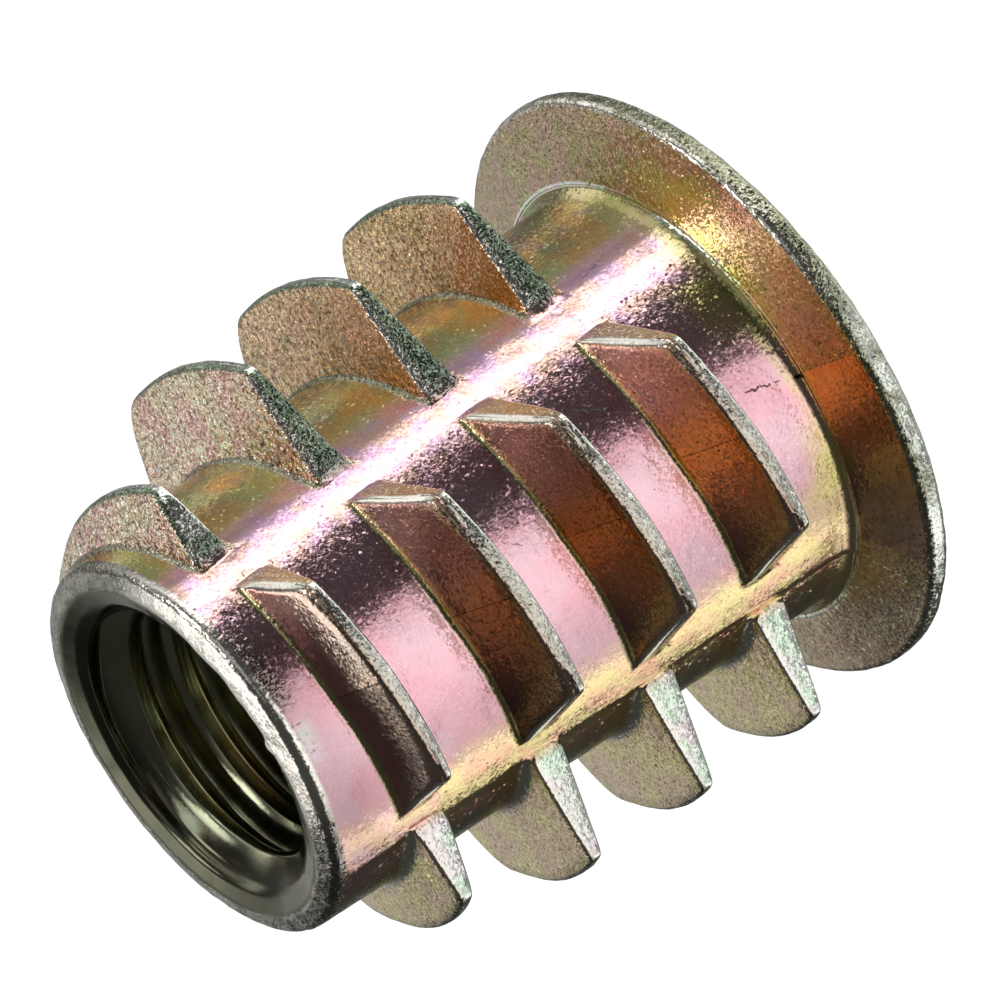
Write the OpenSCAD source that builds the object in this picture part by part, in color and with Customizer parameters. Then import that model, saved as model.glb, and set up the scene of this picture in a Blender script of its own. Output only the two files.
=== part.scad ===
// Flanged wood insert: a metric thread inside, a coarse interrupted wood thread outside,
// and a hexagon socket in the flange to drive it. It is cast as one piece.
// It stands on its flange, with its axis along +Z and its leading end on top.

/* [Insert] */
// Height from the flange's outer face to the leading end
insert_h = 13; // [11:0.5:16]
// Radius of the flange
flange_r = 6.15; // [6.0:0.01:6.6]
// Thickness of the flange at its rim
rim_h = 0.47; // [0.4:0.01:0.6]
// Thickness of the flange where it meets the neck
flange_h = 0.83; // [0.7:0.01:1.0]

/* [Body] */
// Radius of the body's wall at the leading end
wall_tip_r = 3.86; // [3.7:0.02:3.9]
// Radius of the body's wall at the flange
wall_neck_r = 4.46; // [4.3:0.02:4.5]
// Radius over the four ribs at the leading end
rib_tip_r = 3.98; // [3.92:0.01:4.15]
// Radius over the four ribs at the flange
rib_neck_r = 4.58; // [4.52:0.01:4.7]
// Width of a rib
rib_w = 1.05; // [0.8:0.05:1.3]
// Rounding of the wall's outer edge at the leading end
tip_round = 0.25; // [0.1:0.05:0.3]
// Radius of the hollow fillet between the neck and the flange
neck_fillet = 0.3; // [0.1:0.05:0.4]

/* [Wood thread] */
// Rise of the wood thread in one turn
wood_pitch = 2.66; // [2.6:0.02:2.74]
// Columns of thread around the body
columns = 4; // [4:4]
// Turns of the wood thread
turns = 4; // [2:4]
// Distance from the leading end to the middle of the first rib of thread
first_fin_depth = 1.1; // [1.0:0.01:1.2]
// Crest radius of the full thread at the leading end
crest_tip_r = 5.6; // [5.4:0.02:5.7]
// Growth of the crest radius for each millimetre towards the flange
crest_taper = 0.057; // [0:0.001:0.06]
// How far each rib of thread of the first turn stays below the full crest
lead_in = [0.9, 0.48, 0.55, 0.28]; // [0:0.01:1]
// How far the very first rib of thread is set off centre, so that it starts low
lead_shift = 0.9; // [0:0.05:1]
// Thickness of a rib of thread at its root
fin_root_w = 0.72; // [0.6:0.01:0.8]
// Thickness of a rib of thread at its crest
fin_crest_w = 0.23; // [0.18:0.01:0.3]
// Half width of a column of thread at the wall
column_root_half_w = 2.72; // [2.5:0.02:2.76]
// Half width of a column of thread at the full crest
column_crest_half_w = 2.15; // [1.9:0.05:2.4]

/* [Bore and socket] */
// Bore radius of the metric thread
bore_r = 2.5; // [2.4:0.05:2.6]
// Radius of the chamfered mouth of the bore
mouth_r = 3.2; // [2.9:0.05:3.4]
// Width of the hexagon socket across its flats
hex_flats = 6; // [5:0.5:6]
// Depth of the hexagon socket
hex_h = 5; // [4.5:0.25:6]

/* [Hidden] */
$fn = 96;
// Small length by which a cutter runs past the face that it opens
past = 0.5;
// Rounding of the flange's rim
rim_round = 0.15;
// Height of the lead-in cone between the socket and the bore
cone_h = 0.5;
// Radius at which the mean lead angle of the wood thread is taken
lead_r = 4.75;
lead_angle = atan(wood_pitch / (2 * PI * lead_r));
// Radii between which a rib of thread is drawn; it starts inside the wall
fin_inner_r = 3.4;
// Radii at which the two half widths of a column hold
column_root_r = 3.2;
column_crest_r = 5.55;
// Reach of the cutting prism that bounds a column
column_reach = 7;
column_slope = (column_root_half_w - column_crest_half_w) / (column_crest_r - column_root_r);

// Radius of a cone that runs straight from its radius at the flange to the one at the tip
function cone_r(neck, tip, z) = neck + (tip - neck) * (z - flange_h) / (insert_h - flange_h);

// Height of the middle of rib of thread number i, counted back from the leading end
function fin_z(i) = insert_h - first_fin_depth - i * wood_pitch / columns;

// Crest radius of rib of thread i: a slow taper, no wider than the flange, and a lower first turn
function crest_r(i) =
    min(flange_r, crest_tip_r + crest_taper * (insert_h - fin_z(i)))
    - (i < columns ? lead_in[i] : 0);

// Half width of a column at distance r from the axis
function column_half_w(r) = column_root_half_w - column_slope * (r - column_root_r);

// Tapered body from the flange to the leading end, with a rounded outer edge
module tapered_body(neck, tip) {
    shoulder_z = insert_h - tip_round;
    shoulder_r = cone_r(neck, tip, shoulder_z);
    rotate_extrude() {
        polygon([[0, 0], [neck, 0], [neck, flange_h], [shoulder_r, shoulder_z], [0, shoulder_z]]);
        square([shoulder_r - tip_round, insert_h]);
        translate([shoulder_r - tip_round, shoulder_z])
            circle(tip_round);
    }
}

// Wall of the body, with the four ribs that part the columns of thread
module wall_and_ribs() {
    tapered_body(wall_neck_r, wall_tip_r);
    intersection() {
        tapered_body(rib_neck_r, rib_tip_r);
        for (i = [0 : columns - 1])
            rotate([0, 0, (i + 0.5) * 360 / columns])
                translate([0, -rib_w / 2, 0])
                    cube([column_reach, rib_w, insert_h]);
    }
}

// Flange with a rounded rim, a sloping underside and a hollow fillet at the neck
module flange() {
    slope_start_r = flange_r - rim_round;
    fillet_r = wall_neck_r + neck_fillet / 2;
    rotate_extrude() {
        polygon([
            [0, 0],
            [slope_start_r, 0],
            [slope_start_r, rim_h],
            [fillet_r, flange_h],
            [0, flange_h],
        ]);
        translate([slope_start_r, rim_round])
            circle(rim_round);
        translate([slope_start_r, rim_h - rim_round])
            circle(rim_round);
        translate([slope_start_r, rim_round])
            square([rim_round, rim_h - 2 * rim_round]);
        difference() {
            square([fillet_r, flange_h + neck_fillet]);
            translate([wall_neck_r + neck_fillet, flange_h + neck_fillet])
                circle(neck_fillet);
        }
    }
}

// Prism that bounds one column of thread about +X: its sides lean in towards the crest
module column_prism() {
    linear_extrude(insert_h)
        polygon([
            [0, -column_half_w(0)],
            [column_reach, -column_half_w(column_reach)],
            [column_reach, column_half_w(column_reach)],
            [0, column_half_w(0)],
        ]);
}

// One rib of thread: a tilted ring of tapered section, cut to its column
module fin(i) {
    wall_r = cone_r(wall_neck_r, wall_tip_r, fin_z(i));
    crest = crest_r(i);
    flank = (fin_root_w - fin_crest_w) / 2 / (crest - wall_r);
    inner_half = fin_root_w / 2 + flank * (wall_r - fin_inner_r);
    crest_half = fin_crest_w / 2;
    rotate([0, 0, -i * 360 / columns])
        intersection() {
            column_prism();
            translate([0, i == 0 ? -lead_shift : 0, fin_z(i)])
                rotate([lead_angle, 0, 0])
                    rotate_extrude()
                        polygon([
                            [fin_inner_r, -inner_half],
                            [crest, -crest_half],
                            [crest, crest_half],
                            [fin_inner_r, inner_half],
                        ]);
        }
}

// Bore of the metric thread with its chamfered mouth at the leading end
module bore() {
    mouth_h = mouth_r - bore_r;
    translate([0, 0, hex_h - past])
        cylinder(h = insert_h - hex_h + 2 * past, r = bore_r);
    translate([0, 0, insert_h - mouth_h])
        cylinder(h = mouth_h + past, r1 = bore_r, r2 = mouth_r + past);
}

// Hexagon socket in the flange, ending in a cone that leads a screw to the bore
module socket() {
    translate([0, 0, -past])
        cylinder(h = hex_h + past, r = hex_flats / 2 / cos(30), $fn = 6);
    translate([0, 0, hex_h])
        cylinder(h = cone_h, r1 = bore_r + cone_h, r2 = bore_r);
}

module insert_body() {
    color("darkkhaki")
        difference() {
            union() {
                wall_and_ribs();
                flange();
                for (i = [0 : columns * turns - 1])
                    fin(i);
            }
            bore();
            socket();
        }
}

insert_body();
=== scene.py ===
"""A flanged threaded insert for wood, die-cast and yellow chromated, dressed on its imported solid.

The whole insert is one closed grid: rows run round the axis, and they follow each other from the
leading end down the outside, over the flange, up the socket and the bore, and back to the start.
Sizes are in millimetres in the script and metres in the mesh.
"""

import logging
import math
from dataclasses import dataclass
from enum import Enum, IntEnum

import bpy
import numpy as np
from mathutils import Matrix, Vector


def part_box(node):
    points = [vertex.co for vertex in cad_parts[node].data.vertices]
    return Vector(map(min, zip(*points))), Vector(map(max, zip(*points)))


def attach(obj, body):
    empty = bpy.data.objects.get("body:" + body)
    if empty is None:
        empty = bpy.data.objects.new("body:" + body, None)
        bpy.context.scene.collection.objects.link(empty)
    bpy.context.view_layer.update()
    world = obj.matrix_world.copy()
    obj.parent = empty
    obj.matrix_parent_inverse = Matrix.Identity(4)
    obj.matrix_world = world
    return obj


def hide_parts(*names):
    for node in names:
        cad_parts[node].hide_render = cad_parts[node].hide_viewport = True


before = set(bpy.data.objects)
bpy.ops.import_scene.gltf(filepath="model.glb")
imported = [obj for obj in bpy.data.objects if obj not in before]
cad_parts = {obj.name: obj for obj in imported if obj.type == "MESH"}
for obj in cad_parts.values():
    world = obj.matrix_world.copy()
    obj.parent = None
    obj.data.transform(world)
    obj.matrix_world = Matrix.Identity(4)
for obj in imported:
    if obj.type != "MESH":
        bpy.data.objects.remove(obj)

LOG = logging.getLogger("insert")
MM = 0.001
NODE = "insert_body"
COLUMNS = 4
LEVELS = 4


class Zone(IntEnum):
    """The stretches of surface that a row can lie in, in the order of the surface.

    FOOT is the hollow at the foot of a rib of thread, and the two EDGE zones are the rounded corners
    on either side of its crest.
    """

    WALL = 0
    FOOT = 1
    UPPER_FLANK = 2
    UPPER_EDGE = 3
    CREST = 4
    LOWER_EDGE = 5
    LOWER_FLANK = 6
    NECK = 7
    UNDERSIDE = 8
    RIM = 9
    OUTER_FACE = 10
    SOCKET = 11
    BORE = 12
    MOUTH = 13
    LIP = 14


def ease(t: np.ndarray) -> np.ndarray:
    """Smooth step: 3 t squared minus 2 t cubed, with t held between 0 and 1."""
    t = np.clip(t, 0.0, 1.0)
    return t * t * (3.0 - 2.0 * t)


def soft_min(a: np.ndarray, b: np.ndarray, round_r: float) -> np.ndarray:
    """The lesser of a and b, with their corner rounded off by a parabola over round_r.

    Args:
        a: First surface.
        b: Second surface.
        round_r: Half the width of the blend.

    Returns:
        min(a, b) less (round_r - |a - b|) squared over 4 round_r where that is positive.
    """
    gap = np.clip(round_r - np.abs(a - b), 0.0, None)
    return np.minimum(a, b) - gap * gap / (4.0 * round_r)


def bell(x: np.ndarray, width: float) -> np.ndarray:
    """A bell curve: e to the power of minus (x / width) squared."""
    return np.exp(-np.square(x / width))


def turned(angle: np.ndarray) -> np.ndarray:
    """The same angle in degrees, brought between -180 and 180."""
    return np.mod(angle + 180.0, 360.0) - 180.0


class Noise:
    """Seeded value noise on a lattice that repeats every 64 cells."""

    SIDE = 64

    def __init__(self, seed: int) -> None:
        """Draws the lattice.

        Args:
            seed: Seed of the random lattice.
        """
        rng = np.random.default_rng(seed)
        self.lattice = rng.uniform(-1.0, 1.0, (self.SIDE,) * 3)

    def at(self, points: np.ndarray, cell: float) -> np.ndarray:
        """Values at points: the eight lattice values round each one, blended with eased weights.

        Args:
            points: Array of shape (..., 3) in millimetres.
            cell: Size of a lattice cell in millimetres.

        Returns:
            Array of shape (...) between -1 and 1.
        """
        scaled = points / cell
        low = np.floor(scaled)
        part = ease(scaled - low)
        low = low.astype(int)
        total = np.zeros(points.shape[:-1])
        for corner in np.ndindex(2, 2, 2):
            index = np.mod(low + np.array(corner), self.SIDE)
            weight = np.prod(np.where(np.array(corner) == 1, part, 1.0 - part), axis=-1)
            total += weight * self.lattice[index[..., 0], index[..., 1], index[..., 2]]
        return total

    def cloud(self, points: np.ndarray, cell: float, octaves: int) -> np.ndarray:
        """Sum of octaves of the noise, each with half the cell and half the height of the last.

        Args:
            points: Array of shape (..., 3) in millimetres.
            cell: Size of the first octave's cells in millimetres.
            octaves: Number of octaves.

        Returns:
            Array of shape (...).
        """
        total = np.zeros(points.shape[:-1])
        for octave in range(octaves):
            shift = 17.3 * octave
            total += self.at(points + shift, cell / 2**octave) / 2**octave
        return total


@dataclass(frozen=True)
class Body:
    """Sizes of the wall, the ridges that part the columns of thread, and the flange.

    ridge_shoulder and ridge_fall have a value for each column: how far from the ridge's line its
    shoulder starts, and how wide it is. The neck's fillet is tighter about tight_at.
    """

    height: float
    flange_r: float
    wall_tip_r: float = 3.86
    wall_neck_r: float = 4.46
    ridge_rise: float = 0.05
    ridge_shoulder: tuple[float, ...] = (0.35, 0.1, 0.36, 0.1)
    ridge_fall: tuple[float, ...] = (0.3, 1.4, 0.14, 1.4)
    ridge_end: float = 0.1
    ridge_fade: float = 0.7
    ridge_least: float = 0.3
    tip_round: float = 0.2
    tip_lean: float = 16.0
    tip_drop: float = 0.08
    neck_z: float = 0.83
    neck_fillet: float = 0.5
    neck_sweep: float = 48.0
    tight_share: float = 0.45
    tight_at: float = -108.0
    tight_w: float = 26.0
    bead_out: tuple[float, ...] = (0.012, 0.035, 0.06)
    bead_up: tuple[float, ...] = (0.012, 0.022, 0.004)
    bead_end: float = 0.09
    rim_z: float = 0.47
    rim_round: float = 0.13
    draft_rise: float = 0.05

    @property
    def tip_z(self) -> float:
        """Height at which the wall ends and the rounding of the leading end starts."""
        return self.height - self.tip_drop - self.tip_round * math.cos(math.radians(self.tip_lean))

    def wall_r(self, z: np.ndarray) -> np.ndarray:
        """Radius of the wall: a straight cone from the neck to the leading end."""
        along = (z - self.neck_z) / (self.height - self.neck_z)
        return self.wall_neck_r + (self.wall_tip_r - self.wall_neck_r) * along

    def root_r(self, z: np.ndarray, beta: np.ndarray) -> np.ndarray:
        """Radius of the wall with its ridges.

        A ridge's rise eases out over its shoulder with the distance along the wall from its line at
        45 degrees: steeply beside the side columns, slowly beside the front and the back one. It
        fades to a part of itself at the leading end.

        Args:
            z: Heights.
            beta: Angles in degrees from the middle of each column, (..., columns, lines).

        Returns:
            Radii in the shape that the two arrays spread to.
        """
        wall = self.wall_r(z)
        away = wall * np.radians(45.0 - np.abs(beta))
        shoulder = np.array(self.ridge_shoulder)[:, None]
        fall = np.array(self.ridge_fall)[:, None]
        ridge = 1.0 - ease((away - shoulder) / fall)
        fade = ease((self.height - z - self.ridge_end) / self.ridge_fade)
        return wall + self.ridge_rise * ridge * (self.ridge_least + (1.0 - self.ridge_least) * fade)


@dataclass(frozen=True)
class WoodThread:
    """Sizes of the sixteen interrupted ribs of coarse thread.

    A tuple of four has a value for each column. root_w and crest_w are a rib's thickness, and the
    column sizes are half its width at two radii. fillet_up, corner_up and end_corner_up are the
    hollow at the foot, the corner at the crest and that corner on the rib's ends, on the tip's side.
    bend_near and bend_far round the crest off into the ends. root_trim has a row for each turn:
    what it adds to half the width at the front's upper end, the front's lower end and the left
    column's lower end. crest_trim does the same at the crest of the first turn.
    """

    pitch: float = 2.66
    first_depth: float = 1.1
    crest_tip_r: float = 5.6
    crest_taper: float = 0.057
    lead_in: tuple[float, ...] = (0.9, 0.48, 0.55, 0.28)
    lead_shift: float = 0.9
    lead_r: float = 4.75
    root_w: float = 0.72
    crest_w: float = 0.23
    column_root_half_w: float = 2.72
    column_crest_half_w: float = 2.15
    column_root_r: float = 3.2
    column_crest_r: float = 5.55
    fillet_up: tuple[float, ...] = (0.07, 0.07, 0.17, 0.07)
    fillet_down: float = 0.07
    corner_up: tuple[float, ...] = (0.1, 0.06, 0.1, 0.06)
    end_corner_up: tuple[float, ...] = (0.06, 0.15, 0.06, 0.15)
    corner_down: float = 0.05
    bend_near: float = 0.2
    bend_far: float = 0.7
    low_rise: float = 0.09
    full_rise: float = 0.3
    draft_up: float = 0.12
    draft_down: float = 0.03
    crest_lean: float = 0.03
    crest_low: float = 0.06
    root_trim: tuple[tuple[float, ...], ...] = (
        (-0.25, -0.15, -0.12),
        (-0.12, 0.08, 0.08),
        (0.0, 0.16, 0.16),
        (0.0, 0.16, 0.16),
    )
    crest_trim: tuple[float, ...] = (-0.25, -0.15, -0.12)

    @property
    def lead(self) -> float:
        """Rise of the thread for each millimetre round the axis, at lead_r."""
        return self.pitch / (2.0 * math.pi * self.lead_r)

    def end_r(self, beta: np.ndarray, root_w: np.ndarray, crest_w: np.ndarray) -> np.ndarray:
        """Radius at which a ray leaves the leaning end planes of its column.

        An end plane stands half the column's width from the middle at column_root_r and leans
        inwards to half its crest width at column_crest_r, so the ray meets it where its sine plus
        the lean times its cosine, times the radius, is that width carried back to the axis.

        Args:
            beta: Angles of the rays in degrees from the middle of the column.
            root_w: Half the width at column_root_r.
            crest_w: Half the width at column_crest_r.

        Returns:
            The radii.
        """
        lean = (root_w - crest_w) / (self.column_crest_r - self.column_root_r)
        angle = np.radians(np.abs(beta))
        return (root_w + lean * self.column_root_r) / (np.sin(angle) + lean * np.cos(angle))

    def end_angle(self, radius: np.ndarray, root_w: np.ndarray, crest_w: np.ndarray) -> np.ndarray:
        """Angle at which the end plane stands at a radius: the inverse of end_r.

        Args:
            radius: Radii.
            root_w: Half the width at column_root_r.
            crest_w: Half the width at column_crest_r.

        Returns:
            Angles in degrees from the middle of the column.
        """
        lean = (root_w - crest_w) / (self.column_crest_r - self.column_root_r)
        tilt = np.arctan(lean)
        ratio = np.clip((root_w + lean * self.column_root_r) * np.cos(tilt) / radius, 0.0, 1.0)
        return np.degrees(np.arcsin(ratio) - tilt)


@dataclass(frozen=True)
class Drive:
    """Sizes of the hexagon socket."""

    flats: float = 6.0
    depth: float = 5.0
    cone_h: float = 0.5
    edge: float = 0.12
    face_r: float = 3.8
    wall_start: float = 0.6
    floor_corner: float = 0.05
    floor_ledge: float = 0.06


@dataclass(frozen=True)
class Bore:
    """Sizes of the machine thread and its mouth; angles are azimuths in degrees.

    The mouth's edge is ragged everywhere, and more so on a burr that is drawn inwards and nicked.
    """

    pitch: float = 1.0
    minor_r: float = 2.5
    major_r: float = 3.0
    crest_flat: float = 0.25
    flank_part: float = 0.3125
    seam: float = -80.0
    seam_start: float = 0.965
    thread_start: float = 0.67
    fade_turns: float = 1.2
    corner: float = 0.05
    mouth_depth: float = 0.13
    mouth_root_r: float = 3.04
    mouth_r: float = 3.44
    burr_middle: float = -80.0
    burr_half: float = 30.0
    burr_fall: float = 24.0
    burr_w: float = 0.12
    ragged: float = 0.055
    ragged_cell: float = 0.45
    ragged_rest: float = 0.25
    nick_at: float = -92.5
    nick_w: float = 2.2
    nick_depth: float = 0.16


class Grid:
    """The lines of the surface: 66 to a column, dense where a rib of thread ends."""

    RIDGE_LINES = 8
    END_LINES = 11
    CREST_LINES = 14
    CREST = 2.0
    MIDDLE = 3.0

    def __init__(self) -> None:
        """Works out each line's place and side.

        The place is 0 at the ridge, 1 where the end of a rib leaves the wall, CREST where it meets
        the crest and MIDDLE in the middle of the column. The side is 1 before the middle and -1
        from there on.
        """
        ridge = np.sin(np.arange(self.RIDGE_LINES) / self.RIDGE_LINES * math.pi / 2)
        end = 1.0 + self.eased(self.END_LINES)
        crest = self.CREST + self.eased(self.CREST_LINES)
        half = np.concatenate([ridge, end, crest])
        self.place = np.concatenate([half, [self.MIDDLE], half[:0:-1]])
        self.side = np.concatenate([np.ones(half.size), -np.ones(half.size)])
        self.lines = self.place.size * COLUMNS
        self.centre = -90.0 * np.arange(COLUMNS)[:, None]

    @staticmethod
    def eased(count: int) -> np.ndarray:
        """count fractions from 0 up to 1, without the 1, close together at both ends."""
        return (1.0 - np.cos(np.arange(count) / count * math.pi)) / 2.0

    def beta(self, root_angle: np.ndarray, crest_angle: np.ndarray) -> np.ndarray:
        """Angle of each line from the middle of its column.

        Straight stretches join 45 degrees at the ridge, root_angle, crest_angle and 0.

        Args:
            root_angle: Array (rows, columns, 1) in degrees, where a rib's end meets the wall.
            crest_angle: The same, where the end meets the crest.

        Returns:
            Array (rows, columns, lines of a column) in degrees.
        """
        place = self.place
        near_ridge = 45.0 + (root_angle - 45.0) * place
        on_end = root_angle + (crest_angle - root_angle) * (place - 1.0)
        on_crest = crest_angle * (self.MIDDLE - place)
        angle = np.where(place < 1.0, near_ridge, np.where(place < self.CREST, on_end, on_crest))
        return angle * self.side

    def flat(self, rows: np.ndarray) -> np.ndarray:
        """An array (rows, columns, lines of a column) as (rows, all lines)."""
        return rows.reshape(rows.shape[0], self.lines)


@dataclass
class Rows:
    """Rows of the surface: every array is (rows, columns, lines of a column).

    beta is the angle from the middle of the column, and rise is how far a rib of thread stands
    above the wall there.
    """

    beta: np.ndarray
    radius: np.ndarray
    height: np.ndarray
    zone: np.ndarray
    rise: np.ndarray

    @classmethod
    def plain(cls, beta: np.ndarray, radius: np.ndarray, height: np.ndarray, zone: Zone) -> "Rows":
        """Rows without a rib of thread, from arrays that are spread to one shape.

        Args:
            beta: Angles in degrees from the middle of each column.
            radius: Radii.
            height: Heights.
            zone: The zone of all the rows.

        Returns:
            The rows.
        """
        shape = np.broadcast_shapes(beta.shape, radius.shape, height.shape)
        spread = [np.broadcast_to(a, shape) for a in (beta, radius, height)]
        return cls(*spread, np.full(shape, zone), np.zeros(shape))

    @classmethod
    def joined(cls, parts: list["Rows"]) -> "Rows":
        """All the rows of the parts, one after the other."""
        names = ("beta", "radius", "height", "zone", "rise")
        return cls(*(np.concatenate([getattr(part, name) for part in parts]) for name in names))


class Insert:
    """The insert as one closed grid of rows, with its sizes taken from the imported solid."""

    VALLEY_ROWS = 20
    LEAD_ROWS = 14
    TAIL_ROWS = 14
    REACH = 7.0
    SEAM_REACH = 9.5
    FRONT = (np.arange(COLUMNS) % 2)[:, None]

    def __init__(self) -> None:
        """Reads the height and the flange's radius from the frame."""
        low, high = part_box(NODE)
        self.body = Body(height=(high.z - low.z) / MM, flange_r=(high.x - low.x) / 2 / MM)
        self.thread = WoodThread()
        self.drive = Drive()
        self.bore = Bore()
        self.grid = Grid()
        self.noise = Noise(7)
        root_angle = np.full((1, COLUMNS, 1), 38.0)
        self.inner_beta = self.grid.beta(root_angle, root_angle - 8.0)
        self.upper_fillet = np.array(self.thread.fillet_up)[:, None]
        corner = np.array(self.thread.corner_up)[:, None]
        end_corner = np.array(self.thread.end_corner_up)[:, None]
        self.upper_corner = end_corner + (corner - end_corner) * ease((self.grid.place - Grid.CREST) / 0.5)

    # ---- the coarse thread -------------------------------------------------------------------

    def fin_z(self, level: int) -> np.ndarray:
        """Heights of the middles of the four ribs of one turn, each a quarter pitch below the last.

        Args:
            level: Number of the turn, from the leading end.

        Returns:
            Heights, (columns, 1).
        """
        number = np.arange(COLUMNS)[:, None] + COLUMNS * level
        depth = self.thread.first_depth + number * self.thread.pitch / COLUMNS
        return self.body.height - depth

    def crest_r(self, level: int, beta: np.ndarray) -> np.ndarray:
        """Crest radius of the ribs of one turn at beta.

        It is a slow taper, no wider than the flange. The first turn is lower, and the very first rib
        is a circle set off to the side, so that it starts low and climbs.

        Args:
            level: Number of the turn, from the leading end.
            beta: Angles in degrees from the middle of each column, (columns, lines).

        Returns:
            Radii, (columns, lines).
        """
        thread, z = self.thread, self.fin_z(level)
        full = thread.crest_tip_r + thread.crest_taper * (self.body.height - z)
        crest = np.minimum(self.body.flange_r, full) + 0.0 * beta
        if level == 0:
            crest = crest - np.array(thread.lead_in)[:, None]
            across = thread.lead_shift * np.cos(np.radians(beta[0]))
            along = thread.lead_shift * np.sin(np.radians(beta[0]))
            crest[0] = np.sqrt(crest[0] ** 2 - across**2) - along
        return crest

    def widths(self, level: int) -> tuple[np.ndarray, np.ndarray]:
        """Half the width of one turn's ribs, with both front ends and one left end trimmed.

        Args:
            level: Number of the turn, from the leading end.

        Returns:
            Half the width at the root and at the crest, each (columns, lines).
        """
        thread, after = self.thread, self.grid.side > 0
        root_w = np.full((COLUMNS, after.size), thread.column_root_half_w)
        crest_w = np.full((COLUMNS, after.size), thread.column_crest_half_w)
        for index, (column, lines) in enumerate(((1, after), (1, ~after), (0, ~after))):
            root_w[column, lines] += thread.root_trim[level][index]
            if level == 0:
                crest_w[column, lines] += thread.crest_trim[index]
        return root_w, crest_w

    def angles(self, level: int) -> tuple[np.ndarray, np.ndarray]:
        """Angles at which one turn's ribs end.

        Args:
            level: Number of the turn, from the leading end.

        Returns:
            Angles in degrees at the wall and at the crest, each (columns, lines).
        """
        wall = self.body.wall_r(self.fin_z(level))
        middle = self.crest_r(level, np.full((COLUMNS, 1), 25.0))
        widths = self.widths(level)
        root_angle = np.minimum(self.thread.end_angle(wall, *widths), 43.0)
        return root_angle, self.thread.end_angle(middle, *widths)

    def fin_rise(self, level: int, beta: np.ndarray, root: np.ndarray) -> tuple[np.ndarray, np.ndarray]:
        """How far one turn's ribs stand above the wall.

        That is the softened lesser of the crest and the leaning end planes, less the wall, so that a
        rib runs out to nothing at its ends. The side ribs bend over slowly at their far ends.

        Args:
            level: Number of the turn, from the leading end.
            beta: Angles in degrees from the middle of each column, (columns, lines).
            root: Radius of the wall there.

        Returns:
            The rise, and the full rise that it would have without ends, each (columns, lines).
        """
        thread = self.thread
        crest = self.crest_r(level, beta)
        outward = np.array([1.0, 0.0, -1.0, 0.0])[:, None] * beta
        bend = np.where(outward > 0.0, thread.bend_far, thread.bend_near)
        top = soft_min(crest, thread.end_r(beta, *self.widths(level)), bend)
        rise = np.clip(top - root, 0.0, None)
        rise = np.where(np.abs(beta) >= self.angles(level)[0], 0.0, rise)
        return rise, np.maximum(crest - root, thread.full_rise)

    def section(self, rise: np.ndarray, full: np.ndarray) -> tuple[np.ndarray, np.ndarray, np.ndarray]:
        """The section of a rib: a fillet, a flank, a rounded corner, the crest and the same again.

        Args:
            rise: How far the rib stands above the wall, (columns, lines).
            full: Its rise without its ends.

        Returns:
            Height above the wall and distance from the rib's middle plane, each (rows, columns,
            lines), and the zone of each row.
        """
        thread = self.thread
        slope = (thread.root_w - thread.crest_w) / 2.0 / full
        up_lift, up_w = self.flank_rows(rise, slope, self.upper_fillet, self.upper_corner)
        down_lift, down_w = self.flank_rows(rise, slope, thread.fillet_down, thread.corner_down)
        crossing = 0.35 * np.array([1.0, -1.0])[:, None, None]
        middle_w = (up_w[-1] + down_w[-1]) / 2.0
        lift = np.concatenate([up_lift, rise + 0.0 * crossing, down_lift[::-1]])
        offset = np.concatenate([up_w, middle_w * crossing, -down_w[::-1]])
        zones = [Zone.FOOT] * 3 + [Zone.UPPER_FLANK] * 7 + [Zone.UPPER_EDGE] * 3 + [Zone.CREST] * 2
        zones += [Zone.LOWER_EDGE] * 3 + [Zone.LOWER_FLANK] * 10
        return lift, offset, np.array(zones)[:, None, None]

    def fin_rows(self, level: int) -> Rows:
        """Rows over the ribs of one turn, from the tip side to the flange side.

        The flanks of the front and back columns swell towards the mould's parting plane, which is
        their draft, and their crests lean towards the flange. Where a rib is low its rows spread
        evenly over the wall.

        Args:
            level: Number of the turn, from the leading end.

        Returns:
            The rows.
        """
        body, thread = self.body, self.thread
        beta = self.grid.beta(*self.angles(level))
        lead = thread.lead * np.sin(np.radians(beta))
        root = body.root_r(self.fin_z(level) + lead * body.wall_neck_r, beta)
        rise, full = self.fin_rise(level, beta, root)
        lift, offset, zones = self.section(rise, full)

        radius = root + lift
        inward = np.abs(radius * np.sin(np.radians(beta)))
        swell = np.clip(1.0 - inward / thread.column_root_half_w, 0.0, 1.0) * self.FRONT
        up, stands = ease(lift / full), np.minimum(1.0, rise / thread.full_rise)
        draft = np.where(offset > 0, thread.draft_up * (1.0 - 0.75 * up), -thread.draft_down) * swell
        offset = offset + draft * stands
        lean = thread.crest_lean + thread.crest_low * ease((0.12 - offset) / 0.2)
        offset = offset - up * self.FRONT * stands * (level > 0) * lean
        spread = np.linspace(0.5, -0.5, len(offset))[:, None, None]
        offset = spread + (offset - spread) * ease(rise / thread.low_rise)

        shift = thread.lead * thread.lead_shift * ((level == 0) * (np.arange(COLUMNS) == 0))[:, None]
        height = self.settle(self.fin_z(level) + lead * radius + shift + offset, beta)
        radius = np.where(lift > 0.0, radius, body.root_r(height, beta))
        beta, zones, rise = (np.broadcast_to(a, radius.shape) for a in (beta, zones, rise))
        return Rows(beta, radius, height, zones, rise)

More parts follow.
